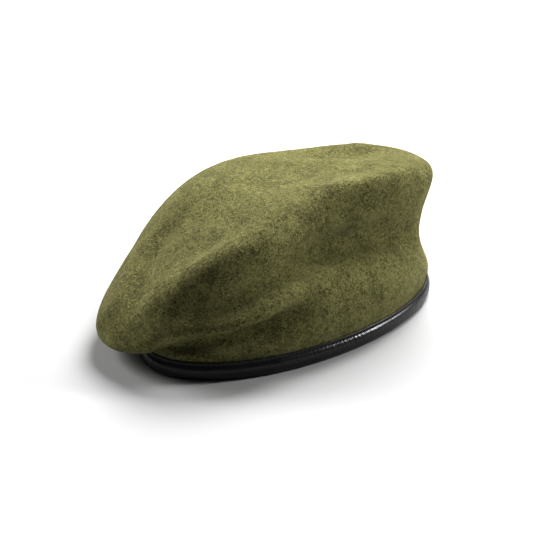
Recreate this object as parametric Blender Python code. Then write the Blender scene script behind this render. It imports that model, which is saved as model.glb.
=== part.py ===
"""A wool felt beret with a leather bound edge, lying on a flat surface.

Frame: +X is the wearer's left, +Y the back of the head, +Z up, and the origin is
the centre of the head opening on the surface that the bound edge rests on.
The felt is drawn up into a fold along the wearer's left side, behind the badge
stiffener, and flops down to the wearer's right and front.
"""
import math

import bmesh
import bpy
import numpy as np

MM = 0.001

# Headband, in millimetres. The opening lies pulled out long, as it does unworn.
HEAD_HALF_WIDTH = 58.2
HEAD_HALF_LENGTH = 114.6
BINDING_HEIGHT = 12.4
SWEATBAND_HEIGHT = 14.2
LEATHER = 1.0
ROLL_BULGE = 1.6
SLIT_WIDTH = 1.6

# Cloth and small parts, in millimetres.
GAP = 0.3
FELT_THICKNESS = 2.2
FELT_EDGE_HEIGHT = 3.2
FELT_CLEARS_LIP = 3.0
LINING_THICKNESS = 0.3
LINING_HANG = 2.4
STIFFENER_THICKNESS = 0.8
FACING_THICKNESS = 0.3
TAPE_WIDTH = 5.6
TAPE_THICKNESS = 0.7
THREAD = 0.6
LABEL_THICKNESS = 0.3

# Eyelets in the felt on the wearer's right, in millimetres and degrees.
EYELET_BORE = 2.0
EYELET_WALL = 0.5
EYELET_FLANGE = 4.3
EYELET_PLATE = 0.6
EYELET_ROW = 4.35
EYELET_ANGLES = {"vent_eyelet_front": 153.0, "vent_eyelet_rear": 124.0}
WASHER_FOR = {"vent_eyelet_front": "vent_washer_front", "vent_eyelet_rear": "vent_washer_rear"}

# The crown is drawn as sections that stand on an axis near the crown's middle.
AXIS_X = -20.0
AXIS_Y = -5.0
CROWN_HEIGHT = 106.0
MIDDLE_HEIGHT = 93.0
MIDDLE_TILT = (0.12, 0.10)
MIDDLE_RING = 16.0

# What the sections were drawn on. Other sizes stretch them from here.
DRAWN_HALF_WIDTH = 62.2
DRAWN_HALF_LENGTH = 118.6
DRAWN_HEIGHT = 106.0

# Each section: its direction in degrees from the wearer's left towards the back,
# then (reach from the axis, height) of its guide points, from just above the
# binding, out under the crown's rim, over the rim or fold and in across the top.
SECTIONS = [
    (-180.0, [(60, 16), (90, 13), (116, 16), (126, 29), (117, 45), (99, 62), (80, 80), (55, 91)]),
    (-157.5, [(60, 14), (82, 11), (100, 15), (107, 28), (97, 47), (80, 69), (58, 87), (38, 92)]),
    (-135.0, [(68, 13), (84, 9), (95, 12), (103, 23), (96, 39), (83, 57), (66, 77), (42, 89)]),
    (-112.5, [(86, 13), (100, 8), (113, 5), (125, 13), (116, 28), (98, 44), (77, 62), (48, 80)]),
    (-90.0, [(110, 18), (118, 13), (131, 5), (144, 14), (129, 33), (109, 50), (80, 66), (46, 83)]),
    (-67.5, [(112, 20), (107, 26), (112, 24), (123, 27), (110, 52), (97, 73), (69, 77), (38, 87)]),
    (-45.0, [(99, 18), (92, 27), (92, 33), (101, 42), (85, 62), (67, 87), (60, 96), (32, 93)]),
    (-22.5, [(87, 20), (86, 32), (84, 43), (78, 54), (58, 64), (52, 84), (50, 103), (30, 97)]),
    (0.0, [(85, 21), (83, 33), (77, 45), (67, 56), (50, 66), (49, 84), (50, 104), (30, 99)]),
    (22.5, [(90, 21), (89, 33), (84, 45), (72, 56), (55, 66), (54, 86), (57, 108), (36, 101)]),
    (45.0, [(104, 20), (102, 33), (96, 46), (86, 57), (74, 68), (76, 88), (83, 111), (58, 104)]),
    (67.5, [(125, 20), (120, 33), (117, 46), (122, 60), (129, 74), (135, 90), (127, 100), (98, 101)]),
    (90.0, [(120, 18), (114, 32), (110, 46), (117, 60), (129, 73), (134, 86), (119, 94), (90, 98)]),
    (112.5, [(90, 18), (104, 28), (114, 42), (126, 54), (131, 66), (123, 79), (104, 89), (76, 96)]),
    (135.0, [(70, 17), (96, 24), (120, 34), (134, 46), (131, 61), (115, 74), (92, 87), (66, 95)]),
    (157.5, [(62, 16), (96, 18), (124, 24), (137, 37), (131, 53), (113, 70), (90, 84), (64, 92)]),
]
FIRST_DIRECTION = math.radians(-180.0)
SECTION_STEP = math.radians(22.5)

# How closely each guide row follows the headband's oval, from the felt's edge up.
HUG = [1.0, 1.0, 1.0, 1.0, 0.8, 0.5, 0.2] + [0.0] * 7
LAST_ROW = 13.0

# Mesh fineness.
AROUND = 48
FELT_ROWS = [0.0, 1.0, 2.0, 2.5, 3.0, 3.5, 4.0, 4.6, 5.2, 5.7, 6.2, 6.7, 7.2, 7.7, 8.2,
             8.7, 9.2, 9.8, 10.4, 11.0, 11.7, 12.4]
SEAM_ROW = 7.7
BACKING_COLUMNS = (30, 36)
BACKING_ROWS = (4.0, 7.3)
LABEL_DIRECTIONS = (60.0, 100.0)
LABEL_ROWS = (11.7, 12.3)
BACK_DEGREES = 90.0

FELT_OUT = LEATHER + GAP + LINING_THICKNESS + GAP + FELT_THICKNESS
OVAL_A = HEAD_HALF_WIDTH + FELT_OUT
OVAL_B = HEAD_HALF_LENGTH + FELT_OUT


def reach_of_oval(theta, half_width, half_length):
    """Distance from the crown's axis to the headband's oval in a direction."""
    c, s = np.cos(theta), np.sin(theta)
    a = (c / half_width) ** 2 + (s / half_length) ** 2
    b = 2 * (AXIS_X * c / half_width ** 2 + AXIS_Y * s / half_length ** 2)
    k = (AXIS_X / half_width) ** 2 + (AXIS_Y / half_length) ** 2 - 1
    return (-b + np.sqrt(b * b - 4 * a * k)) / (2 * a)


def guide_rows():
    """All guide points: an array of section, row, (reach, height)."""
    lift = (CROWN_HEIGHT - BINDING_HEIGHT) / (DRAWN_HEIGHT - BINDING_HEIGHT)
    rows = []
    for degrees, points in SECTIONS:
        theta = math.radians(degrees)
        reach = reach_of_oval(theta, OVAL_A, OVAL_B)
        stretch = reach / reach_of_oval(theta, DRAWN_HALF_WIDTH, DRAWN_HALF_LENGTH)
        tilt = MIDDLE_TILT[0] * math.cos(theta) + MIDDLE_TILT[1] * math.sin(theta)
        rise = BINDING_HEIGHT - FELT_EDGE_HEIGHT
        edge = [(reach, FELT_EDGE_HEIGHT + part * rise) for part in (0.0, 0.5, 1.0)]
        edge.append((reach, BINDING_HEIGHT + FELT_CLEARS_LIP))
        middle = [(MIDDLE_RING, MIDDLE_HEIGHT + MIDDLE_RING * tilt), (0.0, MIDDLE_HEIGHT)]
        body = []
        for r, z in points + middle:
            wide = r * stretch if r > MIDDLE_RING else r
            body.append((wide, BINDING_HEIGHT + (z - BINDING_HEIGHT) * lift))
        rows.append(edge + body)
    return np.array(rows)


def spline_weights(f):
    """Uniform cubic B-spline weights of four neighbours at fraction f."""
    return [(1 - f) ** 3 / 6, (3 * f ** 3 - 6 * f ** 2 + 4) / 6,
            (-3 * f ** 3 + 3 * f ** 2 + 3 * f + 1) / 6, f ** 3 / 6]


GUIDES = guide_rows()


def crown_points(theta, row):
    """Points of the felt's outer face for equal arrays of direction and row."""
    around = (theta - FIRST_DIRECTION) / SECTION_STEP
    section = np.floor(around).astype(int)
    count = len(SECTIONS)
    weights = spline_weights(around - section)
    rows = sum(w[..., None, None] * GUIDES[(section + k - 1) % count] for k, w in enumerate(weights))
    band = sum(w * GUIDES[(section + k - 1) % count, 0, 0] for k, w in enumerate(weights))
    slack = reach_of_oval(theta, OVAL_A, OVAL_B) - band
    rows[..., 0] += slack[..., None] * np.array(HUG)
    below = 2 * rows[..., :1, :] - rows[..., 1:2, :]
    beyond = 2 * rows[..., -1:, :] - rows[..., -2:-1, :]
    rows = np.concatenate([below, rows, beyond], axis=-2)
    low = np.minimum(np.floor(row).astype(int), int(LAST_ROW) - 1)
    weights = spline_weights(row - low)
    at = sum(w[..., None] * np.take_along_axis(rows, (low + k)[..., None, None], -2)[..., 0, :]
             for k, w in enumerate(weights))
    x = AXIS_X + at[..., 0] * np.cos(theta)
    y = AXIS_Y + at[..., 0] * np.sin(theta)
    return np.stack([x, y, at[..., 1]], axis=-1)


def crown_normals(theta, row):
    """Outward unit normals of the felt's outer face."""
    side, along = 0.01, 0.02
    low = np.clip(row - along, 0.0, LAST_ROW - 2 * along)
    high = low + 2 * along
    mid = np.minimum(row, LAST_ROW - along)
    across = crown_points(theta + side, mid) - crown_points(theta - side, mid)
    up = crown_points(theta, high) - crown_points(theta, low)
    normal = np.cross(across, up)
    return normal / np.linalg.norm(normal, axis=-1, keepdims=True)


def crown_layer(theta, row, depth):
    """The crown's face moved inwards by a depth."""
    theta, row, depth = np.broadcast_arrays(theta, row, depth)
    return crown_points(theta, row) - depth[..., None] * crown_normals(theta, row)


def middle_point(depth):
    """The crown's middle, moved inwards by a depth."""
    slope = np.array([-MIDDLE_TILT[0], -MIDDLE_TILT[1], 1.0])
    top = np.array([AXIS_X, AXIS_Y, GUIDES[0, -1, 1]])
    return top - depth * slope / np.linalg.norm(slope)


def ring_angles(start=0.0):
    """Parameter of the headband's oval at the mesh's columns."""
    return start + np.arange(AROUND) * 2 * math.pi / AROUND


def oval_direction(t):
    """Direction from the crown's axis to the oval's point at parameter t."""
    return np.arctan2(OVAL_B * np.sin(t) - AXIS_Y, OVAL_A * np.cos(t) - AXIS_X)


def oval_offset(t, out, z):
    """A point beside the oval: out along its normal, at a height."""
    t, out, z = np.broadcast_arrays(t, out, z)
    nx, ny = OVAL_B * np.cos(t), OVAL_A * np.sin(t)
    size = np.hypot(nx, ny)
    return np.stack([OVAL_A * np.cos(t) + out * nx / size,
                     OVAL_B * np.sin(t) + out * ny / size, z], axis=-1)


def add_material(obj, colour, roughness, metallic=0.0):
    material = bpy.data.materials.new(obj.name)
    material.use_nodes = True
    shader = material.node_tree.nodes["Principled BSDF"]
    shader.inputs["Base Color"].default_value = (*colour, 1.0)
    shader.inputs["Roughness"].default_value = roughness
    shader.inputs["Metallic"].default_value = metallic
    material.diffuse_color = (*colour, 1.0)
    obj.data.materials.append(material)


def new_object(name, points, faces):
    """A mesh object from points in millimetres, faces turned outwards."""
    mesh = bpy.data.meshes.new(name)
    mesh.from_pydata([tuple(p) for p in np.asarray(points) * MM], [], faces)
    work = bmesh.new()
    work.from_mesh(mesh)
    bmesh.ops.recalc_face_normals(work, faces=work.faces)
    work.to_mesh(mesh)
    work.free()
    mesh.shade_smooth()
    mesh.set_sharp_from_angle(angle=math.radians(40))
    obj = bpy.data.objects.new(name, mesh)
    bpy.context.scene.collection.objects.link(obj)
    return obj


def skin_faces(columns, rows, wrap, middle, cut_corners):
    """Faces of one layer of a grid; middle is the index of a closing point.

    Each four-sided cell is cut along one diagonal, the same in both layers of a
    sheet, so that thin cloth keeps its thickness where a cell is twisted.
    """
    faces = []
    steps = columns if wrap else columns - 1
    for i in range(steps):
        k = (i + 1) % columns
        for j in range(rows - 1):
            face = [i * rows + j, k * rows + j, k * rows + j + 1, i * rows + j + 1]
            if cut_corners and i in (0, steps - 1) and j in (0, rows - 2):
                outermost = (0 if i == 0 else columns - 1) * rows + (0 if j == 0 else rows - 1)
                face.remove(outermost)
            faces.append(tuple(face[:3]))
            if len(face) == 4:
                faces.append((face[0], face[2], face[3]))
        if middle is not None:
            faces.append((i * rows + rows - 1, k * rows + rows - 1, middle))
    return faces


def closed_sheet(name, outer, inner, wrap, middles=None, cut_corners=False):
    """A thin closed body between two grids of points, with its edges filled.

    Grids are column by row. With wrap the columns join up into a ring; with
    middles the last row is closed onto one point of each layer.
    """
    columns, rows = outer.shape[:2]
    layers = [list(outer.reshape(-1, 3)), list(inner.reshape(-1, 3))]
    middle = None
    if middles is not None:
        middle = columns * rows
        layers = [layer + [point] for layer, point in zip(layers, middles)]
    shift = len(layers[0])
    skin = skin_faces(columns, rows, wrap, middle, cut_corners)
    faces = skin + [tuple(v + shift for v in reversed(face)) for face in skin]
    edges = {(face[n - 1], face[n]) for face in skin for n in range(len(face))}
    for p, q in sorted(edges):
        if (q, p) not in edges:
            faces.append((q, p, p + shift, q + shift))
    used = sorted({v for face in faces for v in face})
    number = {v: n for n, v in enumerate(used)}
    points = layers[0] + layers[1]
    return new_object(name, [points[v] for v in used], [tuple(number[v] for v in face) for face in faces])


def swept_ring(name, section, slit=0.0):
    """A closed section, as (out, height) points, swept round the headband.

    With a slit the ring is open at the back by that width and its ends are capped.
    """
    back = math.radians(BACK_DEGREES)
    t = ring_angles(back)
    if slit:
        half = slit / 2 / OVAL_A
        t = np.concatenate([[back + half], t[1:], [back + 2 * math.pi - half]])
    out = np.array([p[0] for p in section])
    z = np.array([p[1] for p in section])
    grid = oval_offset(t[:, None], out[None, :], z[None, :])
    columns, count = grid.shape[:2]
    steps = columns - 1 if slit else columns
    faces = []
    for i in range(steps):
        k = (i + 1) % columns
        for j in range(count):
            n = (j + 1) % count
            faces.append((i * count + j, k * count + j, k * count + n, i * count + n))
    if slit:
        faces.append(tuple(range(count)))
        faces.append(tuple(reversed(range((columns - 1) * count, columns * count))))
    return new_object(name, grid.reshape(-1, 3), faces)


def lining_depth(rows, extra):
    """Depth of a layer that is close at the binding and hangs free higher up."""
    rise = np.clip((rows - 2.9) / 1.6, 0.0, 1.0)
    return FELT_THICKNESS + GAP + LINING_HANG * rise * rise * (3 - 2 * rise) + extra


def make_felt_crown():
    theta = oval_direction(ring_angles(math.radians(BACK_DEGREES)))[:, None]
    rows = np.array(FELT_ROWS)[None, :]
    outer = crown_layer(theta, rows, 0.0)
    inner = crown_layer(theta, rows, FELT_THICKNESS)
    middles = (middle_point(0.0), middle_point(FELT_THICKNESS))
    felt = closed_sheet("felt_crown", outer, inner, True, middles)
    add_material(felt, (0.19, 0.20, 0.06), 0.95)
    return felt


def make_lining():
    theta = oval_direction(ring_angles(math.radians(BACK_DEGREES)))[:, None]
    side_rows = [0.6, 2.0, 2.5, 3.0, 3.5, 4.0, 4.6, 5.2, 5.7, 6.2, 6.7, 7.2, SEAM_ROW - 0.05]
    side_rows = np.array(side_rows)[None, :]
    top_rows = np.array([SEAM_ROW + 0.05, 8.2, 8.7, 9.8, 11.0, 12.4])[None, :]
    side = closed_sheet("lining_side", crown_layer(theta, side_rows, lining_depth(side_rows, 0.0)),
                        crown_layer(theta, side_rows, lining_depth(side_rows, LINING_THICKNESS)), True)
    deep = FELT_THICKNESS + GAP + LINING_HANG
    top = closed_sheet("lining_top", crown_layer(theta, top_rows, deep),
                       crown_layer(theta, top_rows, deep + LINING_THICKNESS), True,
                       (middle_point(deep), middle_point(deep + LINING_THICKNESS)))
    seam_rows = np.array([SEAM_ROW - 0.08, SEAM_ROW + 0.08])[None, :]
    seam_depth = deep + LINING_THICKNESS + GAP
    seam = closed_sheet("lining_seam_thread", crown_layer(theta, seam_rows, seam_depth),
                        crown_layer(theta, seam_rows, seam_depth + THREAD), True)
    for piece in (side, top):
        add_material(piece, (0.012, 0.012, 0.013), 0.35)
    add_material(seam, (0.02, 0.02, 0.02), 0.8)


def make_badge_backing():
    """The board that stands the front of the crown up, and the cloth over it."""
    t = ring_angles(math.radians(BACK_DEGREES))[BACKING_COLUMNS[0]:BACKING_COLUMNS[1]]
    theta = oval_direction(t)[:, None]
    rows = np.array([r for r in FELT_ROWS if BACKING_ROWS[0] <= r <= BACKING_ROWS[1]])[None, :]
    depth = FELT_THICKNESS + GAP
    for name, thickness, colour in (("badge_stiffener", STIFFENER_THICKNESS, (0.03, 0.03, 0.03)),
                                    ("stiffener_facing", FACING_THICKNESS, (0.02, 0.02, 0.02))):
        sheet = closed_sheet(name, crown_layer(theta, rows, depth), crown_layer(theta, rows, depth + thickness),
                             False, None, True)
        add_material(sheet, colour, 0.75)
        depth += thickness + GAP


def make_label():
    """A small blank label under the lining's middle."""
    depth = FELT_THICKNESS + LINING_HANG + LINING_THICKNESS + 3 * GAP
    theta = np.radians(np.linspace(LABEL_DIRECTIONS[0], LABEL_DIRECTIONS[1], 4))[:, None]
    rows = np.linspace(LABEL_ROWS[0], LABEL_ROWS[1], 3)[None, :]
    label = closed_sheet("size_label", crown_layer(theta, rows, depth),
                         crown_layer(theta, rows, depth + LABEL_THICKNESS), False)
    add_material(label, (0.6, 0.6, 0.58), 0.6)


def binding_section():
    """The folded leather strip: outer roll, flat foot, sweatband leg inside."""
    lip_in = GAP
    lip_out = GAP + LEATHER
    roll = lip_out + ROLL_BULGE
    leg_in = -(FELT_THICKNESS + GAP + LINING_THICKNESS + GAP)
    leg_out = leg_in - LEATHER
    h = BINDING_HEIGHT
    top = SWEATBAND_HEIGHT
    return [
        (lip_in, h - 0.2), (lip_in + 0.2, h), (lip_out - 0.2, h), (lip_out, h - 0.3), (lip_out, h - 1.6),
        (lip_out - 0.2, h - 2.2), (lip_out + 0.5, h - 3.1), (roll - 0.3, h - 4.6), (roll, h * 0.48),
        (roll, h * 0.32), (roll - 0.5, h * 0.15), (roll - 1.4, 0.35), (roll - 2.6, 0.0),
        (leg_out + 1.6, 0.0), (leg_out + 0.5, 0.4), (leg_out, 1.5), (leg_out, top - 0.4),
        (leg_out + 0.3, top), (leg_in - 0.3, top), (leg_in, top - 0.4), (leg_in, 2.2), (leg_in + 0.7, 1.2),
        (lip_in + 0.7, 1.2), (roll - LEATHER - 0.2, 2.4), (roll - LEATHER, h * 0.36),
        (roll - LEATHER - 0.3, h - 5.2), (lip_in + 0.1, h - 3.4),
    ]


def make_binding():
    leather = swept_ring("leather_binding", binding_section(), SLIT_WIDTH)
    add_material(leather, (0.012, 0.012, 0.013), 0.32)
    tape_in = GAP + 0.05
    tape_low = 2.0
    tape = swept_ring("draw_tape", [(tape_in, tape_low), (tape_in + TAPE_THICKNESS, tape_low),
                                    (tape_in + TAPE_THICKNESS, tape_low + TAPE_WIDTH - 1.0),
                                    (tape_in, tape_low + TAPE_WIDTH)], SLIT_WIDTH)
    add_material(tape, (0.015, 0.015, 0.016), 0.85)
    half = THREAD / 2
    groove_out = GAP + LEATHER + GAP + half
    groove_z = BINDING_HEIGHT - 1.9
    inside_out = -(FELT_OUT + GAP + half)
    for name, out, z in (("binding_thread_outer", groove_out, groove_z),
                         ("binding_thread_inner", inside_out, groove_z)):
        thread = swept_ring(name, [(out - half, z), (out, z - half), (out + half, z), (out, z + half)])
        add_material(thread, (0.03, 0.03, 0.03), 0.6)


def turned_piece(name, profile, place, turns=16):
    """A closed ring turned from (radius, height) points about a placed axis."""
    points = []
    for i in range(turns):
        angle = 2 * math.pi * i / turns
        for r, z in profile:
            points.append(place(r * math.cos(angle), r * math.sin(angle), z))
    count = len(profile)
    faces = []
    for i in range(turns):
        k = (i + 1) % turns
        for j in range(count):
            n = (j + 1) % count
            faces.append((i * count + j, k * count + j, k * count + n, i * count + n))
    return new_object(name, points, faces)


def frame_at(theta, row):
    """A placing function whose height runs out along the crown's normal."""
    theta, row = np.array(theta), np.array(row)
    centre = crown_points(theta, row)
    normal = crown_normals(theta, row)
    across = np.cross(np.array([0.0, 0.0, 1.0]), normal)
    across = across / np.linalg.norm(across)
    up = np.cross(normal, across)

    def place(x, y, z):
        return centre + across * x + up * y + normal * z
    return place


def make_eyelets(felt):
    """Two eyelets through the felt, each crimped over a washer inside."""
    hole = EYELET_BORE + EYELET_WALL + GAP
    inside = -(FELT_THICKNESS + GAP)
    for name, degrees in EYELET_ANGLES.items():
        place = frame_at(math.radians(degrees), EYELET_ROW)
        points = [place(hole * math.cos(a), hole * math.sin(a), z)
                  for z in (-3.5, 2.5) for a in np.arange(16) * math.pi / 8]
        faces = [tuple(range(16)), tuple(range(31, 15, -1))]
        faces += [(i, (i + 1) % 16, 16 + (i + 1) % 16, 16 + i) for i in range(16)]
        cutter = new_object(name + "_cutter", points, faces)
        cutter.hide_render = True
        cutter.display_type = "WIRE"
        cut = felt.modifiers.new(name, "BOOLEAN")
        cut.operation = "DIFFERENCE"
        cut.solver = "EXACT"
        cut.object = cutter
        wall = EYELET_BORE + EYELET_WALL
        low = inside - EYELET_PLATE - 0.6
        eyelet = turned_piece(name, [
            (EYELET_BORE, low), (wall, low), (wall, GAP + 0.15), (EYELET_FLANGE - 0.3, GAP + 0.15),
            (EYELET_FLANGE, GAP + 0.35), (EYELET_FLANGE - 0.5, GAP + 0.15 + EYELET_PLATE),
            (wall, GAP + 0.35 + EYELET_PLATE), (EYELET_BORE, GAP + 0.15 + EYELET_PLATE / 2)], place)
        add_material(eyelet, (0.02, 0.02, 0.02), 0.35, 0.8)
        washer = turned_piece(WASHER_FOR[name], [
            (hole, inside - 0.4), (EYELET_FLANGE, inside - 0.4),
            (EYELET_FLANGE, inside - 0.4 - EYELET_PLATE), (hole, inside - 0.4 - EYELET_PLATE)], place)
        add_material(washer, (0.02, 0.02, 0.02), 0.35, 0.8)


def main():
    for obj in list(bpy.data.objects):
        bpy.data.objects.remove(obj, do_unlink=True)
    felt = make_felt_crown()
    make_eyelets(felt)
    make_lining()
    make_badge_backing()
    make_label()
    make_binding()


main()
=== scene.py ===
"""The look of a wool felt beret with a leather bound edge, on its CAD frame."""

import math

import bmesh
import bpy
import numpy as np
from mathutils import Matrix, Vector, noise


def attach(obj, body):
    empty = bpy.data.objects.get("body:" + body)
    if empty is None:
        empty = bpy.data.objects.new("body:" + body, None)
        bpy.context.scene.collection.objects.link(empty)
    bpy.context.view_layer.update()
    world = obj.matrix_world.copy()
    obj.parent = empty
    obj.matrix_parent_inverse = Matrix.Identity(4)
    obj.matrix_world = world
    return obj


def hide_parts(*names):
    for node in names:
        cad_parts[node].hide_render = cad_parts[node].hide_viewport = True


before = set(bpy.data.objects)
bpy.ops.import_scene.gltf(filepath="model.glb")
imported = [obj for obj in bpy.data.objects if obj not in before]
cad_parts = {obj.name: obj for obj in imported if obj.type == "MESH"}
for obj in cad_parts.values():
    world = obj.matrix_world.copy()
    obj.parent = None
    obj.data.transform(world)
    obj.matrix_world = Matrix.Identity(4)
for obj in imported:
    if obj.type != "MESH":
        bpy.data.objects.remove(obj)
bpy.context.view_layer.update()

MM = 0.001

# Headband and cloth, in millimetres: the same values as the CAD model's.
HEAD_HALF_WIDTH = 58.2
HEAD_HALF_LENGTH = 114.6
BINDING_HEIGHT = 12.4
SWEATBAND_HEIGHT = 14.2
LEATHER = 1.0
ROLL_BULGE = 1.6
SLIT_WIDTH = 1.6
GAP = 0.3
FELT_THICKNESS = 2.2
FELT_EDGE_HEIGHT = 3.2
FELT_CLEARS_LIP = 3.0
LINING_THICKNESS = 0.3
LINING_HANG = 2.4
STIFFENER_THICKNESS = 0.8
FACING_THICKNESS = 0.3
LABEL_THICKNESS = 0.3
THREAD = 0.6
EYELET_BORE = 2.0
EYELET_WALL = 0.5
EYELET_FLANGE = 4.3
EYELET_PLATE = 0.6
EYELET_ROW = 4.35
EYELET_ANGLES = {"vent_eyelet_front": 153.0, "vent_eyelet_rear": 124.0}
WASHER_FOR = {"vent_eyelet_front": "vent_washer_front", "vent_eyelet_rear": "vent_washer_rear"}

# The crown's sections: each direction's (reach, height) points from the binding
# to the middle. They are the CAD model's, but between -45 and 45 degrees the last
# four points make a rounder, lower rim.
AXIS_X = -20.0
AXIS_Y = -5.0
MIDDLE_HEIGHT = 93.0
MIDDLE_TILT = (0.12, 0.10)
MIDDLE_RING = 16.0
SECTIONS = [
    (-180.0, [(60, 16), (90, 13), (116, 16), (126, 29), (117, 45), (99, 62), (80, 80), (55, 91)]),
    (-157.5, [(60, 14), (82, 11), (100, 15), (107, 28), (97, 47), (80, 69), (58, 87), (38, 92)]),
    (-135.0, [(68, 13), (84, 9), (95, 12), (103, 23), (96, 39), (83, 57), (66, 77), (42, 89)]),
    (-112.5, [(86, 13), (100, 8), (113, 5), (125, 13), (116, 28), (98, 44), (77, 62), (48, 80)]),
    (-90.0, [(110, 18), (118, 13), (131, 5), (144, 14), (129, 33), (109, 50), (80, 66), (46, 83)]),
    (-67.5, [(112, 20), (107, 26), (112, 24), (123, 27), (110, 52), (97, 73), (69, 77), (38, 87)]),
    (-45.0, [(99, 18), (92, 27), (92, 33), (101, 42), (88, 62), (74, 82), (57, 95), (30, 93)]),
    (-22.5, [(87, 20), (86, 32), (84, 43), (78, 54), (59, 64), (58, 79), (44, 97), (26, 96)]),
    (0.0, [(85, 21), (83, 33), (77, 45), (67, 56), (50, 65), (57, 79), (45, 98), (26, 98)]),
    (22.5, [(90, 21), (89, 33), (84, 45), (72, 56), (55, 65), (62, 81), (52, 103), (32, 101)]),
    (45.0, [(104, 20), (102, 33), (96, 46), (86, 57), (74, 67), (82, 84), (78, 107), (55, 103)]),
    (67.5, [(125, 20), (120, 33), (117, 46), (122, 60), (129, 74), (135, 90), (127, 100), (98, 101)]),
    (90.0, [(120, 18), (114, 32), (110, 46), (117, 60), (129, 73), (134, 86), (119, 94), (90, 98)]),
    (112.5, [(90, 18), (104, 28), (114, 42), (126, 54), (131, 66), (123, 79), (104, 89), (76, 96)]),
    (135.0, [(70, 17), (96, 24), (120, 34), (134, 46), (131, 61), (115, 74), (92, 87), (66, 95)]),
    (157.5, [(62, 16), (96, 18), (124, 24), (137, 37), (131, 53), (113, 70), (90, 84), (64, 92)]),
]
FIRST_DIRECTION = math.radians(-180.0)
SECTION_STEP = math.radians(22.5)
HUG = [1.0, 1.0, 1.0, 1.0, 0.8, 0.5, 0.2] + [0.0] * 7
LAST_ROW = 13.0
SEAM_ROW = 7.7
BACK = math.radians(90.0)
BACKING_DIRECTIONS = (-49.0, -7.0)
BACKING_ROWS = (4.0, 7.3)
LABEL_DIRECTIONS = (60.0, 100.0)
LABEL_ROWS = (11.7, 12.3)

# Soft folds the felt lies in: points of a line in mm, each with how far out (+)
# or in (-) the felt is moved there, and the fold's width.
FOLDS = [
    ([(-5, -126, 38, 3), (9, -112, 51, 4.5), (17, -94, 66, 5), (27, -68, 78, 4.5),
      (34, -40, 80, 2), (38, -4, 78, 1), (43, 43, 79, 1), (41, 78, 78, 1)], 9.0),
    ([(-8, -133, 30, -2), (-22, -117, 46, -4.5), (-38, -95, 54, -4), (-50, -71, 64, -3),
      (-54, -50, 74, -1)], 8.0),
    ([(-40, -126, 30, 2), (-52, -108, 44, 2), (-66, -84, 52, 1)], 8.0),
    ([(42, 72, 54, -4), (39, 43, 63, -4), (36, 17, 64, -4.5), (36, -14, 63, -5), (39, -49, 59, -6),
      (38, -78, 52, -6), (26, -102, 42, -4)], 8.0),
    ([(16, -123, 21, -4), (32, -107, 25, -8), (44, -87, 28, -9), (52, -67, 33, -9), (57, -50, 39, -7),
      (58, -36, 45, -3), (56, -22, 50, 0)], 5.5),
    ([(14, -128, 35, 5), (34, -114, 38, 8), (47, -94, 39, 9), (54, -74, 42, 9), (57, -54, 48, 5),
      (56, -38, 54, 2)], 6.0),
    ([(-50, 36, 94, 1), (-17, 55, 97, 1.5), (15, 86, 100, 1)], 8.0),
    ([(-60, 50, 93, -1), (-45, 66, 95, -4), (-22, 84, 97, -4), (0, 98, 98, -1)], 9.0),
    ([(-66, 82, 90, 1), (-42, 100, 93, 4), (-14, 116, 95, 2), (10, 116, 97, 0)], 9.0),
    ([(-60, 40, 22, -2), (-90, 62, 30, -2), (-112, 74, 44, 0)], 7.0),
    ([(-66, -20, 18, -1.5), (-104, -34, 16, -1.5), (-132, -44, 28, 0)], 8.0),
    ([(-30, 112, 24, -2), (-36, 122, 44, -2), (-40, 122, 66, 0)], 8.0),
]
# Folds and lumps fade out towards the binding and round each eyelet.
FREE_FROM_ROW = 3.2
FREE_OVER_ROWS = 1.5
FLAT_ROUND_EYELET = 7.0
# Lumps of the felt: their size and height in mm.
LUMPS = [(26.0, 0.45), (10.0, 0.16), (3.5, 0.08)]

# How finely each piece is cut, and where it begins and ends.
FELT_COLUMNS = 240
FELT_FINE_ROWS = 110
FELT_MIDDLE_ROWS = 0.25
LINING_COLUMNS = 180
LINING_SIDE_ROWS = (0.6, SEAM_ROW - 0.05, 44)
LINING_TOP_ROWS = (SEAM_ROW + 0.05, 12.6, 26)
SEAM_ROWS = (SEAM_ROW - 0.08, SEAM_ROW + 0.08, 3)
LINING_LEAVES_FELT = 2.9
LINING_LEAVES_OVER = 1.6
PATCH_COLUMNS = 34
PATCH_ROWS = 26
HOLE_SIDES = 24
HOLE_REACH = (-4.0, 3.0)

# The binding's creases and its stitches, in millimetres.
BINDING_COLUMNS = 1300
CREASE_HEIGHT = 7.0
CREASE_SPREAD = 3.4
CREASE_DEPTH = 0.30
SWELL_DEPTH = 0.16
LINED_FACE_DEPTH = 0.05
PUCKER_DEPTH = 0.10
PUCKER_SPREAD = 0.8
STITCH_PITCH = 3.1
STITCH_LENGTH = 2.3
STITCH_LEAN = 0.05
STITCH_SINK = 0.16
GROOVE_HEIGHT = BINDING_HEIGHT - 1.95

FELT_OUT = LEATHER + GAP + LINING_THICKNESS + GAP + FELT_THICKNESS
OVAL_A = HEAD_HALF_WIDTH + FELT_OUT
OVAL_B = HEAD_HALF_LENGTH + FELT_OUT


def reach_of_oval(theta):
    """Distance from the crown's axis to the headband's oval in a direction."""
    c, s = np.cos(theta), np.sin(theta)
    a = (c / OVAL_A) ** 2 + (s / OVAL_B) ** 2
    b = 2 * (AXIS_X * c / OVAL_A ** 2 + AXIS_Y * s / OVAL_B ** 2)
    k = (AXIS_X / OVAL_A) ** 2 + (AXIS_Y / OVAL_B) ** 2 - 1
    return (-b + np.sqrt(b * b - 4 * a * k)) / (2 * a)


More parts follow.
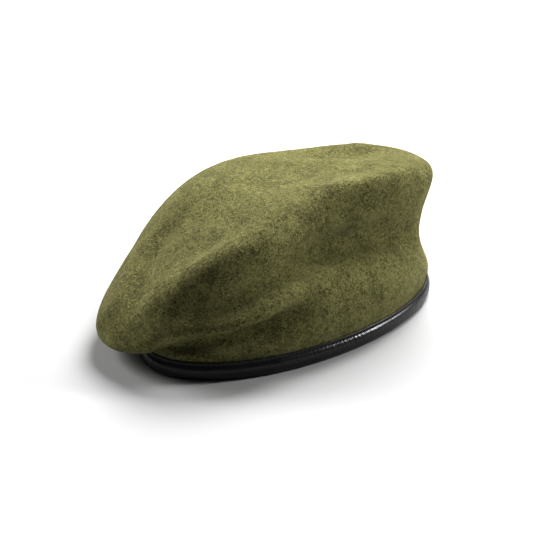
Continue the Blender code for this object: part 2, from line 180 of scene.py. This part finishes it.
def guide_rows():
    """All guide points: an array of section, row, (reach, height)."""
    rows = []
    for degrees, points in SECTIONS:
        theta = math.radians(degrees)
        reach = reach_of_oval(theta)
        tilt = MIDDLE_TILT[0] * math.cos(theta) + MIDDLE_TILT[1] * math.sin(theta)
        edge = [(reach, FELT_EDGE_HEIGHT + rise * (BINDING_HEIGHT - FELT_EDGE_HEIGHT))
                for rise in (0.0, 0.5, 1.0)]
        edge.append((reach, BINDING_HEIGHT + FELT_CLEARS_LIP))
        middle = [(MIDDLE_RING, MIDDLE_HEIGHT + MIDDLE_RING * tilt), (0.0, MIDDLE_HEIGHT)]
        rows.append(edge + points + middle)
    return np.array(rows, float)


def spline_weights(f):
    """Uniform cubic B-spline weights of four neighbours at fraction f."""
    return [(1 - f) ** 3 / 6, (3 * f ** 3 - 6 * f ** 2 + 4) / 6,
            (-3 * f ** 3 + 3 * f ** 2 + 3 * f + 1) / 6, f ** 3 / 6]


GUIDES = guide_rows()


def crown_points(theta, row):
    """Points of the felt's outer face for equal arrays of direction and row."""
    around = (theta - FIRST_DIRECTION) / SECTION_STEP
    section = np.floor(around).astype(int)
    count = len(SECTIONS)
    weights = spline_weights(around - section)
    rows = sum(w[..., None, None] * GUIDES[(section + k - 1) % count] for k, w in enumerate(weights))
    band = sum(w * GUIDES[(section + k - 1) % count, 0, 0] for k, w in enumerate(weights))
    rows[..., 0] += (reach_of_oval(theta) - band)[..., None] * np.array(HUG)
    below = 2 * rows[..., :1, :] - rows[..., 1:2, :]
    beyond = 2 * rows[..., -1:, :] - rows[..., -2:-1, :]
    rows = np.concatenate([below, rows, beyond], axis=-2)
    low = np.minimum(np.floor(row).astype(int), int(LAST_ROW) - 1)
    weights = spline_weights(row - low)
    at = sum(w[..., None] * np.take_along_axis(rows, (low + k)[..., None, None], -2)[..., 0, :]
             for k, w in enumerate(weights))
    reach, height = at[..., 0], at[..., 1]
    return np.stack([AXIS_X + reach * np.cos(theta), AXIS_Y + reach * np.sin(theta), height], -1)


def crown_normals(theta, row):
    """Outward unit normals of the felt's outer face."""
    side, along = 0.01, 0.02
    low = np.clip(row - along, 0.0, LAST_ROW - 2 * along)
    mid = np.minimum(row, LAST_ROW - along)
    across = crown_points(theta + side, mid) - crown_points(theta - side, mid)
    normal = np.cross(across, crown_points(theta, low + 2 * along) - crown_points(theta, low))
    return normal / np.linalg.norm(normal, axis=-1, keepdims=True)


def middle_point(depth):
    """The crown's middle, moved inwards by a depth."""
    slope = np.array([-MIDDLE_TILT[0], -MIDDLE_TILT[1], 1.0])
    return np.array([AXIS_X, AXIS_Y, MIDDLE_HEIGHT]) - depth * slope / np.linalg.norm(slope)


def oval_offset(t, out, z):
    """A point beside the oval: out along its normal, at a height."""
    t, out, z = np.broadcast_arrays(t, out, z)
    nx, ny = OVAL_B * np.cos(t), OVAL_A * np.sin(t)
    size = np.hypot(nx, ny)
    return np.stack([OVAL_A * np.cos(t) + out * nx / size, OVAL_B * np.sin(t) + out * ny / size, z], -1)


def even_parameters(count, start=BACK, turn=2 * math.pi):
    """Parameters of the oval that are evenly spaced along its length."""
    t = np.linspace(start, start + turn, 4001)
    p = oval_offset(t, 0.0, 0.0)
    length = np.concatenate([[0], np.cumsum(np.linalg.norm(np.diff(p, axis=0), axis=1))])
    wanted = np.arange(count) * length[-1] / (count if turn >= 2 * math.pi else count - 1)
    return np.interp(wanted, length, t), wanted, length[-1]


def lumps(points, sizes, seed):
    """A smooth random height for each point, in millimetres."""
    shift = Vector((seed * 17.3, seed * 5.1, seed * 9.7))
    flat = points.reshape(-1, 3)
    total = np.zeros(len(flat))
    for size, height in sizes:
        total += height * np.array([noise.noise(Vector(p) / size + shift) for p in flat])
    return total.reshape(points.shape[:-1])


def folds(points):
    """How far the crown's folds move each point out."""
    total = np.zeros(points.shape[:-1])
    for line, width in FOLDS:
        nearest = np.full(points.shape[:-1], np.inf)
        height = np.zeros(points.shape[:-1])
        places = np.array(line, float)
        for start, end in zip(places, places[1:]):
            d = (end - start)[:3]
            f = np.clip(((points - start[:3]) @ d) / (d @ d), 0, 1)
            gone = np.linalg.norm(points - (start[:3] + f[..., None] * d), axis=-1)
            height = np.where(gone < nearest, start[3] + f * (end[3] - start[3]), height)
            nearest = np.minimum(nearest, gone)
        total += height * np.exp(-nearest ** 2 / (2 * width ** 2))
    return total


def shaped(theta, row, depth):
    """The crown's face with its folds and lumps, moved inwards by a depth."""
    theta, row, depth = np.broadcast_arrays(theta, row, depth)
    base, normal = crown_points(theta, row), crown_normals(theta, row)
    free = np.clip((row - FREE_FROM_ROW) / FREE_OVER_ROWS, 0.0, 1.0) * np.clip(LAST_ROW - row, 0.0, 1.0)
    for degrees in EYELET_ANGLES.values():
        eyelet = crown_points(np.array(math.radians(degrees)), np.array(EYELET_ROW))
        gone = np.linalg.norm(base - eyelet, axis=-1)
        free = free * (1 - np.exp(-(gone / FLAT_ROUND_EYELET) ** 4))
    move = (lumps(base, LUMPS, 1.0) + folds(base)) * free
    return base + normal * (move - depth)[..., None]


def new_piece(name, points, faces, smooth=60.0):
    """A piece from points in millimetres, smooth up to an angle in degrees."""
    mesh = bpy.data.meshes.new(name)
    mesh.from_pydata([tuple(p) for p in np.asarray(points) * MM], [], faces)
    work = bmesh.new()
    work.from_mesh(mesh)
    bmesh.ops.recalc_face_normals(work, faces=work.faces)
    work.to_mesh(mesh)
    work.free()
    mesh.shade_smooth()
    mesh.set_sharp_from_angle(angle=math.radians(smooth))
    obj = bpy.data.objects.new(name, mesh)
    bpy.context.scene.collection.objects.link(obj)
    return obj


def closed_sheet(name, outer, inner, middles=None):
    """A thin closed ring of cloth between two grids of points, column by row."""
    columns, rows = outer.shape[:2]
    points = list(outer.reshape(-1, 3)) + list(inner.reshape(-1, 3))
    shift = columns * rows
    faces = []
    for i in range(columns):
        k = (i + 1) % columns
        for j in range(rows - 1):
            a, b, c, d = i * rows + j, k * rows + j, k * rows + j + 1, i * rows + j + 1
            faces += [(a, b, c), (a, c, d)]
            faces += [(c + shift, b + shift, a + shift), (d + shift, c + shift, a + shift)]
        faces.append((k * rows, i * rows, i * rows + shift, k * rows + shift))
        top, beside = i * rows + rows - 1, k * rows + rows - 1
        if middles is None:
            faces.append((top, beside, beside + shift, top + shift))
        else:
            faces.append((top, beside, 2 * shift))
            faces.append((beside + shift, top + shift, 2 * shift + 1))
    if middles is not None:
        points += list(middles)
    return new_piece(name, points, faces)


def swept(name, grid, ring):
    """A closed section swept along: grid is column by section point."""
    columns, count = grid.shape[:2]
    faces = []
    for i in range(columns if ring else columns - 1):
        k = (i + 1) % columns
        for j in range(count):
            n = (j + 1) % count
            faces.append((i * count + j, k * count + j, k * count + n, i * count + n))
    if not ring:
        faces.append(tuple(range(count)))
        faces.append(tuple(reversed(range((columns - 1) * count, columns * count))))
    return new_piece(name, grid.reshape(-1, 3), faces)


# ---------------------------------------------------------------- materials

def start_material(name, roughness, specular=0.5):
    """A material with its tree, its shader and the object's own coordinates."""
    material = bpy.data.materials.new(name)
    material.use_nodes = True
    tree = material.node_tree
    shader = tree.nodes["Principled BSDF"]
    shader.inputs["Roughness"].default_value = roughness
    shader.inputs["Specular IOR Level"].default_value = specular
    place = tree.nodes.new("ShaderNodeTexCoord")
    return material, tree, shader, place.outputs["Object"]


def noise_of(tree, where, scale, detail=3.0, rough=0.5, distort=0.0):
    """Soft random patches between 0 and 1."""
    made = tree.nodes.new("ShaderNodeTexNoise")
    made.inputs["Scale"].default_value = scale
    made.inputs["Detail"].default_value = detail
    made.inputs["Roughness"].default_value = rough
    made.inputs["Distortion"].default_value = distort
    tree.links.new(where, made.inputs["Vector"])
    return made.outputs["Fac"]


def ramp_of(tree, value, stops):
    """A value turned into a colour by (position, colour) stops."""
    made = tree.nodes.new("ShaderNodeValToRGB")
    ramp = made.color_ramp
    while len(ramp.elements) < len(stops):
        ramp.elements.new(0.5)
    for element, (position, colour) in zip(ramp.elements, stops):
        element.position = position
        element.color = (*colour, 1.0)
    tree.links.new(value, made.inputs["Fac"])
    return made.outputs["Color"]


def math_of(tree, operation, a, b):
    """One sum of two values or sockets."""
    made = tree.nodes.new("ShaderNodeMath")
    made.operation = operation
    for socket, value in zip(made.inputs, (a, b)):
        if isinstance(value, (int, float)):
            socket.default_value = value
        else:
            tree.links.new(value, socket)
    return made.outputs["Value"]


def bump_of(tree, shader, height, strength, distance, before=None):
    """Relief on a shader from a height, on top of an earlier relief."""
    made = tree.nodes.new("ShaderNodeBump")
    made.inputs["Strength"].default_value = strength
    made.inputs["Distance"].default_value = distance
    tree.links.new(height, made.inputs["Height"])
    if before is not None:
        tree.links.new(before, made.inputs["Normal"])
    tree.links.new(made.outputs["Normal"], shader.inputs["Normal"])
    return made.outputs["Normal"]


def strands_of(tree, where, scale, distort, width, turn):
    """Thin curly lines, 1 on a line and 0 off it."""
    made = tree.nodes.new("ShaderNodeMapping")
    made.inputs["Location"].default_value = (turn * 3.1, turn * 1.7, turn * 2.3)
    made.inputs["Rotation"].default_value = (turn, turn * 0.7, turn * 1.3)
    tree.links.new(where, made.inputs["Vector"])
    level = noise_of(tree, made.outputs["Vector"], scale, 1.0, 0.5, distort)
    gone = math_of(tree, "ABSOLUTE", math_of(tree, "SUBTRACT", level, 0.5), 0.0)
    line = math_of(tree, "SUBTRACT", 1.0, math_of(tree, "MULTIPLY", gone, 1.0 / width))
    return math_of(tree, "MAXIMUM", line, 0.0)


def felt_material():
    """Milled wool: curly short fibres over a mottled ground, with a soft sheen."""
    material, tree, shader, where = start_material("olive_felt", 0.95, 0.1)
    shader.inputs["Sheen Weight"].default_value = 0.32
    shader.inputs["Sheen Roughness"].default_value = 0.45
    shader.inputs["Sheen Tint"].default_value = (0.85, 0.84, 0.50, 1.0)
    curls = strands_of(tree, where, 420.0, 1.6, 0.05, 0.4)
    for scale, distort, width, turn in ((520.0, 1.2, 0.05, 1.1), (640.0, 1.8, 0.06, 2.3)):
        curls = math_of(tree, "MAXIMUM", curls, strands_of(tree, where, scale, distort, width, turn))
    tufts = noise_of(tree, where, 520.0, 4.0, 0.65, 1.2)
    patches = noise_of(tree, where, 60.0, 3.0, 0.6, 0.4)
    height = math_of(tree, "ADD", math_of(tree, "MULTIPLY", curls, 0.30), tufts)
    tone = math_of(tree, "ADD", height, math_of(tree, "MULTIPLY", patches, 0.35))
    colour = ramp_of(tree, tone, [(0.60, (0.042, 0.040, 0.012)), (0.80, (0.155, 0.146, 0.048)),
                                  (0.98, (0.350, 0.335, 0.140))])
    tree.links.new(colour, shader.inputs["Base Color"])
    soft = bump_of(tree, shader, patches, 0.5, 0.0016)
    bump_of(tree, shader, height, 0.9, 0.0012, soft)
    return material


def leather_material():
    """Black binding leather: fine grain and small creases, half glossy."""
    material, tree, shader, where = start_material("black_leather", 0.3, 0.4)
    shader.inputs["Coat Weight"].default_value = 0.15
    shader.inputs["Coat Roughness"].default_value = 0.25
    cells = tree.nodes.new("ShaderNodeTexVoronoi")
    cells.feature = "DISTANCE_TO_EDGE"
    cells.inputs["Scale"].default_value = 900.0
    tree.links.new(where, cells.inputs["Vector"])
    creases = noise_of(tree, where, 380.0, 4.0, 0.6, 0.8)
    scuff = noise_of(tree, where, 60.0, 4.0, 0.6, 0.3)
    colour = ramp_of(tree, scuff, [(0.3, (0.006, 0.006, 0.007)), (0.7, (0.016, 0.016, 0.017))])
    tree.links.new(colour, shader.inputs["Base Color"])
    rough = ramp_of(tree, scuff, [(0.3, (0.26, 0.26, 0.26)), (0.7, (0.42, 0.42, 0.42))])
    tree.links.new(rough, shader.inputs["Roughness"])
    grain = bump_of(tree, shader, cells.outputs["Distance"], 0.25, 0.0002)
    bump_of(tree, shader, creases, 0.35, 0.0005, grain)
    return material


def weave_material(name, dark, light, scale, roughness, sheen):
    """Woven cloth: two sets of fine ribs crossing."""
    material, tree, shader, where = start_material(name, roughness, 0.3)
    shader.inputs["Sheen Weight"].default_value = sheen
    ribs = []
    for direction in ("X", "Z"):
        wave = tree.nodes.new("ShaderNodeTexWave")
        wave.bands_direction = direction
        wave.inputs["Scale"].default_value = scale
        wave.inputs["Distortion"].default_value = 0.6
        tree.links.new(where, wave.inputs["Vector"])
        ribs.append(wave.outputs["Fac"])
    weave = math_of(tree, "MULTIPLY", math_of(tree, "ADD", ribs[0], ribs[1]), 0.5)
    wear = noise_of(tree, where, 90.0, 3.0)
    tone = math_of(tree, "MULTIPLY", math_of(tree, "ADD", weave, wear), 0.5)
    tree.links.new(ramp_of(tree, tone, [(0.3, dark), (0.7, light)]), shader.inputs["Base Color"])
    bump_of(tree, shader, weave, 0.4, 0.0003)
    return material


def lacquer_material():
    """Black lacquered metal, worn in small spots."""
    material, tree, shader, where = start_material("lacquered_eyelet", 0.35)
    shader.inputs["Metallic"].default_value = 0.6
    worn = noise_of(tree, where, 500.0, 4.0)
    tree.links.new(ramp_of(tree, worn, [(0.35, (0.012, 0.012, 0.012)), (0.75, (0.05, 0.045, 0.04))]),
                   shader.inputs["Base Color"])
    return material


def floor_material():
    """A pale plain floor, very slightly uneven in tone."""
    material, tree, shader, where = start_material("floor", 0.9, 0.1)
    tone = noise_of(tree, where, 3.0, 2.0)
    tree.links.new(ramp_of(tree, tone, [(0.0, (0.49, 0.49, 0.495)), (1.0, (0.52, 0.52, 0.52))]),
                   shader.inputs["Base Color"])
    return material


# ---------------------------------------------------------------- pieces

def eyelet_place(degrees):
    """A placing function at an eyelet: x, y in the felt's face, z outwards."""
    theta, row = np.array(math.radians(degrees)), np.array(EYELET_ROW)
    centre, normal = crown_points(theta, row), crown_normals(theta, row)
    across = np.cross(np.array([0.0, 0.0, 1.0]), normal)
    across = across / np.linalg.norm(across)
    up = np.cross(normal, across)
    return lambda x, y, z: centre + across * x + up * y + normal * z


def turned(profile, place, turns=48):
    """Points and faces of a closed (radius, height) profile turned round an eyelet's axis."""
    points, faces, count = [], [], len(profile)
    for i in range(turns):
        angle = 2 * math.pi * i / turns
        points += [place(r * math.cos(angle), r * math.sin(angle), z) for r, z in profile]
        k = (i + 1) % turns
        faces += [(i * count + j, k * count + j, k * count + (j + 1) % count, i * count + (j + 1) % count)
                  for j in range(count)]
    return points, faces


def pierce(felt, name, degrees):
    """Cuts the eyelet's hole through the felt."""
    hole = EYELET_BORE + EYELET_WALL + GAP / 2
    place = eyelet_place(degrees)
    n = HOLE_SIDES
    points = [place(hole * math.cos(a), hole * math.sin(a), z)
              for z in HOLE_REACH for a in np.arange(n) * 2 * math.pi / n]
    faces = [tuple(range(n)), tuple(reversed(range(n, 2 * n)))]
    faces += [(i, (i + 1) % n, n + (i + 1) % n, n + i) for i in range(n)]
    cutter = new_piece(name + "_cutter", points, faces)
    cut = felt.modifiers.new(name, "BOOLEAN")
    cut.operation = "DIFFERENCE"
    cut.solver = "EXACT"
    cut.object = cutter
    bpy.context.view_layer.objects.active = felt
    bpy.ops.object.modifier_apply(modifier=cut.name)
    bpy.data.objects.remove(cutter)


def make_felt():
    """The whole felt crown: outer and inner face, its edge and the two eyelet holes."""
    theta = (np.arange(FELT_COLUMNS) * 2 * math.pi / FELT_COLUMNS - math.pi)[:, None]
    rows = np.linspace(0.0, LAST_ROW - FELT_MIDDLE_ROWS, FELT_FINE_ROWS)[None, :]
    middles = (middle_point(0.0), middle_point(FELT_THICKNESS))
    outer, inner = shaped(theta, rows, 0.0), shaped(theta, rows, FELT_THICKNESS)
    felt = closed_sheet("felt_crown_cloth", outer, inner, middles)
    for name, degrees in EYELET_ANGLES.items():
        pierce(felt, name, degrees)
    felt.data.shade_smooth()
    felt.data.set_sharp_from_angle(angle=math.radians(60))
    return felt


def lining_depth(rows, extra):
    """The lining's depth: close to the felt in the binding, hanging loose above it."""
    rise = np.clip((rows - LINING_LEAVES_FELT) / LINING_LEAVES_OVER, 0.0, 1.0)
    return FELT_THICKNESS + GAP + LINING_HANG * rise * rise * (3 - 2 * rise) + extra


def make_lining():
    """Side panel and top disc of the lining, and the thread that joins them."""
    theta = (np.arange(LINING_COLUMNS) * 2 * math.pi / LINING_COLUMNS - math.pi)[:, None]
    deep = FELT_THICKNESS + GAP + LINING_HANG
    deeper = deep + LINING_THICKNESS
    seam_deep = deeper + GAP
    side, top, seam = (np.linspace(*rows)[None, :] for rows in (LINING_SIDE_ROWS, LINING_TOP_ROWS, SEAM_ROWS))
    return [
        closed_sheet("lining_side_cloth", shaped(theta, side, lining_depth(side, 0.0)),
                     shaped(theta, side, lining_depth(side, LINING_THICKNESS))),
        closed_sheet("lining_top_cloth", shaped(theta, top, deep), shaped(theta, top, deeper),
                     (middle_point(deep), middle_point(deeper))),
        closed_sheet("lining_seam_stitching", shaped(theta, seam, seam_deep),
                     shaped(theta, seam, seam_deep + THREAD)),
    ]


def patch(name, directions, rows, depth, thickness):
    """A piece of cloth or board laid under part of the crown."""
    theta = np.radians(np.linspace(directions[0], directions[1], PATCH_COLUMNS))[:, None]
    rows = np.linspace(rows[0], rows[1], PATCH_ROWS)[None, :]
    outer, inner = shaped(theta, rows, depth), shaped(theta, rows, depth + thickness)
    columns, count = outer.shape[:2]
    shift = columns * count
    rim = [(i, 0) for i in range(columns)] + [(columns - 1, j) for j in range(1, count)]
    rim += [(i, count - 1) for i in range(columns - 2, -1, -1)] + [(0, j) for j in range(count - 2, 0, -1)]
    faces = []
    for i in range(columns - 1):
        for j in range(count - 1):
            a, b, c, d = i * count + j, (i + 1) * count + j, (i + 1) * count + j + 1, i * count + j + 1
            faces += [(a, b, c), (a, c, d)]
            faces += [(c + shift, b + shift, a + shift), (d + shift, c + shift, a + shift)]
    for (i, j), (k, n) in zip(rim, rim[1:] + rim[:1]):
        a, b = i * count + j, k * count + n
        faces.append((b, a, a + shift, b + shift))
    return new_piece(name, list(outer.reshape(-1, 3)) + list(inner.reshape(-1, 3)), faces)


def binding_section():
    """The folded leather strip's section, rounded, as (out, height) points."""
    lip_in = GAP
    lip_out = GAP + LEATHER
    roll = lip_out + ROLL_BULGE
    leg_in = -(FELT_THICKNESS + GAP + LINING_THICKNESS + GAP)
    leg_out = leg_in - LEATHER
    h = BINDING_HEIGHT
    top = SWEATBAND_HEIGHT
    return [
        (lip_in, h - 0.25), (lip_in + 0.2, h), (lip_in + 0.5, h + 0.08), (lip_out - 0.2, h - 0.02),
        (lip_out, h - 0.3), (lip_out + 0.05, h - 0.9), (lip_out, h - 1.4), (lip_out - 0.22, h - 1.8),
        (lip_out - 0.2, h - 2.2), (lip_out + 0.1, h - 2.6), (lip_out + 0.6, h - 3.1), (roll - 0.5, h - 3.9),
        (roll - 0.2, h - 4.8), (roll, h * 0.48), (roll + 0.02, h * 0.40), (roll - 0.1, h * 0.28),
        (roll - 0.4, h * 0.17), (roll - 0.9, h * 0.08), (roll - 1.6, 0.25), (roll - 2.6, 0.0),
        (-1.0, 0.0), (leg_out + 1.6, 0.0), (leg_out + 0.6, 0.3), (leg_out + 0.1, 1.0), (leg_out, 2.4),
        (leg_out, 6.0), (leg_out, 10.0), (leg_out, top - 0.5), (leg_out + 0.15, top - 0.1),
        (leg_out + 0.5, top), (leg_in - 0.15, top - 0.1), (leg_in, top - 0.5), (leg_in, 2.2),
        (leg_in + 0.7, 1.2),
        (lip_in + 0.7, 1.2), (roll - LEATHER - 0.2, 2.4), (roll - LEATHER, h * 0.36),
        (roll - LEATHER - 0.3, h - 5.2), (lip_in + 0.1, h - 3.4),
    ]


def crease_at(along, height):
    """How far a cross crease stands out at a place on the roll, from -1.5 to 1.5."""
    fine = noise.noise(Vector((along / 1.5 + height / 5.0, height / 5.0, 3.0)))
    broad = noise.noise(Vector((along / 3.6, height / 4.0, 8.0)))
    return fine + 0.5 * broad


def creased_share(along):
    """How strongly the leather is creased at a place along it: calm and creased lengths."""
    return 0.35 + 0.65 * max(0.0, noise.noise(Vector((along / 45.0, 2.0, 1.0))) * 2 + 0.4)


def swell_at(along):
    """The roll's slow swelling along its length, from -1 to 1."""
    return noise.noise(Vector((along / 22.0, 0.0, 5.0)))


def make_binding():
    """Leather with fine cross creases on the roll and a pucker at each stitch."""
    section = np.array(binding_section())
    half = SLIT_WIDTH / 2 / OVAL_A
    t, along = even_parameters(BINDING_COLUMNS, BACK + half, 2 * math.pi - 2 * half)[:2]
    out, z = section[:, 0][None, :], section[:, 1][None, :]
    outside = np.clip((out - 0.6) / 1.2, 0, 1)
    inside = np.clip((-3.6 - out) / 0.4, 0, 1)
    side = np.exp(-((z - CREASE_HEIGHT) / CREASE_SPREAD) ** 2)
    groove = np.exp(-((z - GROOVE_HEIGHT) / PUCKER_SPREAD) ** 2)
    crease = np.array([[crease_at(s, height) for height in section[:, 1]] for s in along])
    share = np.array([creased_share(s) for s in along])[:, None]
    swell = np.array([swell_at(s) for s in along])[:, None]
    pucker = PUCKER_DEPTH * np.cos(2 * math.pi * along / STITCH_PITCH)[:, None] * groove
    push = outside * (side * (CREASE_DEPTH * crease * share + SWELL_DEPTH * swell) - pucker)
    grid = oval_offset(t[:, None], out + push - inside * LINED_FACE_DEPTH * crease, z)
    return swept("leather_binding_strip", grid, False)


def make_stitches(name, out):
    """A row of separate stitches in the binding's groove, each a short fat capsule."""
    count = int(round(even_parameters(10)[2] / STITCH_PITCH))
    t = even_parameters(count)[0]
    rings, sides = 6, 8
    points, faces = [], []
    for angle in t:
        here = oval_offset(angle, out, GROOVE_HEIGHT)
        ahead = oval_offset(angle + 0.002, out, GROOVE_HEIGHT) - here
        ahead = ahead / np.linalg.norm(ahead) + np.array([0, 0, STITCH_LEAN])
        ahead = ahead / np.linalg.norm(ahead)
        outward = oval_offset(angle, out + 1.0, GROOVE_HEIGHT) - here
        up = np.cross(ahead, outward)
        base = len(points)
        for i in range(rings):
            f = -1 + 2 * i / (rings - 1)
            thick = THREAD / 2 * math.sqrt(1 - 0.82 * f ** 4) + 0.01
            dip = -STITCH_SINK * f * f
            for j in range(sides):
                a = 2 * math.pi * j / sides
                points.append(here + ahead * f * STITCH_LENGTH / 2 + outward * (thick * math.cos(a) + dip)
                              + up * thick * math.sin(a))
        for i in range(rings - 1):
            for j in range(sides):
                k = (j + 1) % sides
                a, b = base + i * sides, base + (i + 1) * sides
                faces.append((a + j, a + k, b + k, b + j))
        faces.append(tuple(base + j for j in reversed(range(sides))))
        faces.append(tuple(base + (rings - 1) * sides + j for j in range(sides)))
    return new_piece(name, points, faces, 80.0)


def make_eyelets():
    """Both vent eyelets with their rolled flanges, and their washers inside the felt."""
    made = []
    inside = -(FELT_THICKNESS + GAP)
    wall = EYELET_BORE + EYELET_WALL
    rim = GAP + 0.15
    low = inside - EYELET_PLATE - 0.6
    edge = EYELET_FLANGE
    profile = [(EYELET_BORE, low), (wall, low), (wall, rim), (edge - 0.3, rim), (edge - 0.05, rim + 0.08),
               (edge, rim + 0.22), (edge - 0.2, rim + 0.45), (edge - 0.7, rim + 0.62),
               (wall + 0.6, rim + 0.72), (wall, rim + 0.62),
               (EYELET_BORE + 0.1, rim + 0.4), (EYELET_BORE, rim)]
    for name, degrees in EYELET_ANGLES.items():
        place = eyelet_place(degrees)
        made.append((new_piece(name + "_metal", *turned(profile, place)), name))
        hole = wall + GAP
        near, far = inside - 0.4, inside - 0.4 - EYELET_PLATE
        flat = [(hole, near), (edge, near), (edge, far), (hole, far)]
        made.append((new_piece(WASHER_FOR[name] + "_metal", *turned(flat, place)), WASHER_FOR[name]))
    return made


def put(obj, material, cad):
    """Gives a piece its material and the CAD node it stands for."""
    obj.data.materials.clear()
    obj.data.materials.append(material)
    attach(obj, "root")
    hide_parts(cad)


def dress(name, material):
    """Gives a CAD node itself a material."""
    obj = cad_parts[name]
    obj.data.materials.clear()
    obj.data.materials.append(material)


def build():
    """All the beret's pieces with their materials."""
    felt_look, leather_look = felt_material(), leather_material()
    lining_look = weave_material("black_lining", (0.006, 0.006, 0.007), (0.02, 0.02, 0.022), 900.0, 0.38, 0.1)
    thread_look = weave_material("black_thread", (0.012, 0.012, 0.012), (0.04, 0.04, 0.038), 2500.0, 0.6, 0.1)
    tape_look = weave_material("black_tape", (0.008, 0.008, 0.008), (0.025, 0.025, 0.025), 1200.0, 0.85, 0.1)
    facing_look = weave_material("facing_cloth", (0.012, 0.012, 0.012), (0.03, 0.03, 0.03), 1000.0, 0.8, 0.0)
    board_look = weave_material("stiff_board", (0.02, 0.02, 0.02), (0.045, 0.045, 0.045), 500.0, 0.7, 0.0)
    label_look = weave_material("label_cloth", (0.5, 0.5, 0.47), (0.68, 0.68, 0.65), 1500.0, 0.5, 0.1)
    metal_look = lacquer_material()
    put(make_felt(), felt_look, "felt_crown")
    put(make_binding(), leather_look, "leather_binding")
    put(make_stitches("binding_stitches_outer", GAP + LEATHER + 0.12), thread_look,
        "binding_thread_outer")
    put(make_stitches("binding_stitches_inner", -(FELT_OUT + GAP + THREAD / 2)), thread_look,
        "binding_thread_inner")
    side, top, seam = make_lining()
    put(side, lining_look, "lining_side")
    put(top, lining_look, "lining_top")
    put(seam, thread_look, "lining_seam_thread")
    depth = FELT_THICKNESS + GAP
    put(patch("badge_stiffener_board", BACKING_DIRECTIONS, BACKING_ROWS, depth, STIFFENER_THICKNESS),
        board_look, "badge_stiffener")
    depth = depth + STIFFENER_THICKNESS + GAP
    put(patch("stiffener_facing_cloth", BACKING_DIRECTIONS, BACKING_ROWS, depth, FACING_THICKNESS),
        facing_look, "stiffener_facing")
    depth = FELT_THICKNESS + LINING_HANG + LINING_THICKNESS + 3 * GAP
    put(patch("size_label_tag", LABEL_DIRECTIONS, LABEL_ROWS, depth, LABEL_THICKNESS),
        label_look, "size_label")
    for obj, cad in make_eyelets():
        put(obj, metal_look, cad)
    dress("draw_tape", tape_look)


# ---------------------------------------------------------------- studio

def area_light(name, direction, distance, size, power):
    """A round soft light that looks at the object from a direction."""
    data = bpy.data.lights.new(name, "AREA")
    data.shape = "DISK"
    data.size = size
    data.energy = power
    obj = bpy.data.objects.new(name, data)
    bpy.context.scene.collection.objects.link(obj)
    obj.location = Vector(direction).normalized() * distance
    obj.rotation_mode = "QUATERNION"
    obj.rotation_quaternion = (-obj.location).to_track_quat("-Z", "Y")


def studio():
    """A wide pale floor just below the beret, and three soft lights in a dim room."""
    half, height = 6, -0.0002
    corners = [(-half, -half, height), (half, -half, height), (half, half, height), (-half, half, height)]
    mesh = bpy.data.meshes.new("floor")
    mesh.from_pydata(corners, [], [(0, 1, 2, 3)])
    floor = bpy.data.objects.new("floor", mesh)
    bpy.context.scene.collection.objects.link(floor)
    mesh.materials.append(floor_material())
    world = bpy.data.worlds.new("studio")
    bpy.context.scene.world = world
    world.use_nodes = True
    background = world.node_tree.nodes["Background"]
    background.inputs["Color"].default_value = (1.0, 1.0, 1.0, 1.0)
    background.inputs["Strength"].default_value = 0.06
    area_light("overhead", (-0.30, 0.60, 0.76), 1.7, 1.1, 66.0)
    area_light("side", (0.46, 0.76, 0.50), 1.6, 0.42, 22.0)
    area_light("left_fill", (-0.86, -0.46, 0.56), 1.7, 0.9, 28.0)
    scene = bpy.context.scene
    scene.view_settings.view_transform = "Standard"
    scene.view_settings.look = "None"
    scene.view_settings.gamma = 0.80


def camera():
    """A long lens that looks slightly down on the beret's near side."""
    elevation, azimuth, distance = math.radians(24.0), math.radians(49.0), 0.95
    target = Vector((0.0237, -0.0437, 0.060))
    back = Vector((math.sin(azimuth) * math.cos(elevation), -math.cos(azimuth) * math.cos(elevation),
                   math.sin(elevation)))
    data = bpy.data.cameras.new("camera")
    data.sensor_width = 36.0
    data.lens = 98.17
    obj = bpy.data.objects.new("camera", data)
    bpy.context.scene.collection.objects.link(obj)
    obj.location = target + back * distance
    obj.rotation_mode = "QUATERNION"
    obj.rotation_quaternion = (-back).to_track_quat("-Z", "Y")
    data.clip_start = 0.05
    data.clip_end = 50.0
    bpy.context.scene.camera = obj


build()
studio()
camera()
